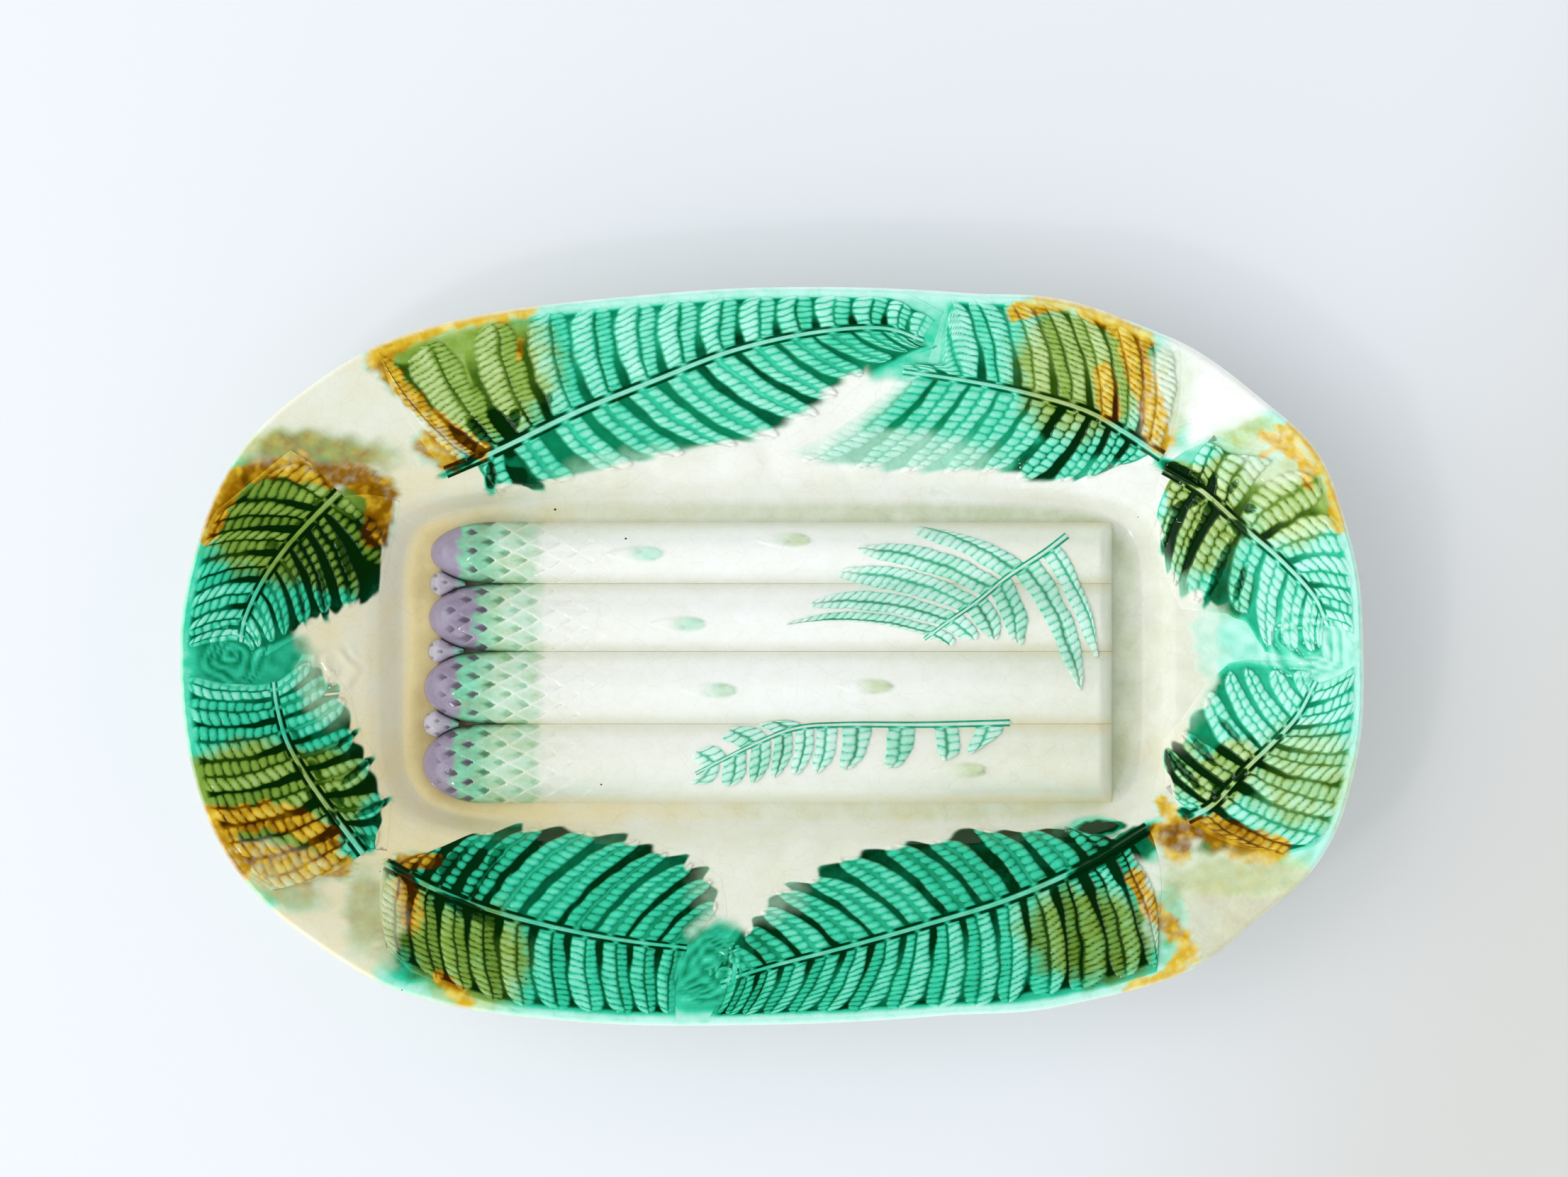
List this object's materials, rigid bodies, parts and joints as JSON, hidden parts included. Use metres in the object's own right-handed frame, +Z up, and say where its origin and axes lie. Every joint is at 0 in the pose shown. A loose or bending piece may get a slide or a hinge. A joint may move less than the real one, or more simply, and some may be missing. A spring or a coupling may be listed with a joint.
{
  "type": "asparagus plate",
  "caption": "Oblong moulded serving plate with asparagus spears in relief in the well, fern fronds in relief round the sloping rim, and a foot ring below.",
  "frame": {"origin": "centre of the plate's outline on the plane that the foot ring rests on", "axes": "+Z up out of the dish, +X along the length towards the cut ends of the spears, +Y towards the side with the narrow spear"},
  "size_m": [0.3002, 0.1874, 0.0309],
  "materials": {
    "cream_glaze": "glossy lead-type glaze, cream, finely crazed",
    "asparagus_glaze": "glossy cream glaze, stained purple and green at the heads",
    "tip_glaze": "glossy purple glaze",
    "fern_glaze": "glossy translucent turquoise, green, olive and ochre glazes, dark where they pool",
    "sprig_glaze": "glossy thin mint glaze over cream"
  },
  "bodies": {
    "root": {"dish_body": "cream_glaze", "foot_ring": "cream_glaze", "spear_1": "asparagus_glaze", "spear_2": "asparagus_glaze", "spear_3": "asparagus_glaze", "spear_4": "asparagus_glaze", "small_tip_1": "tip_glaze", "small_tip_2": "tip_glaze", "small_tip_3": "tip_glaze", "frond_back_left": "fern_glaze", "frond_back_right": "fern_glaze", "frond_right_back": "fern_glaze", "frond_right_front": "fern_glaze", "frond_front_right": "fern_glaze", "frond_front_left": "fern_glaze", "frond_left_front": "fern_glaze", "frond_left_back": "fern_glaze", "sprig_upper": "sprig_glaze", "sprig_lower": "sprig_glaze"}
  },
  "joints": []
}
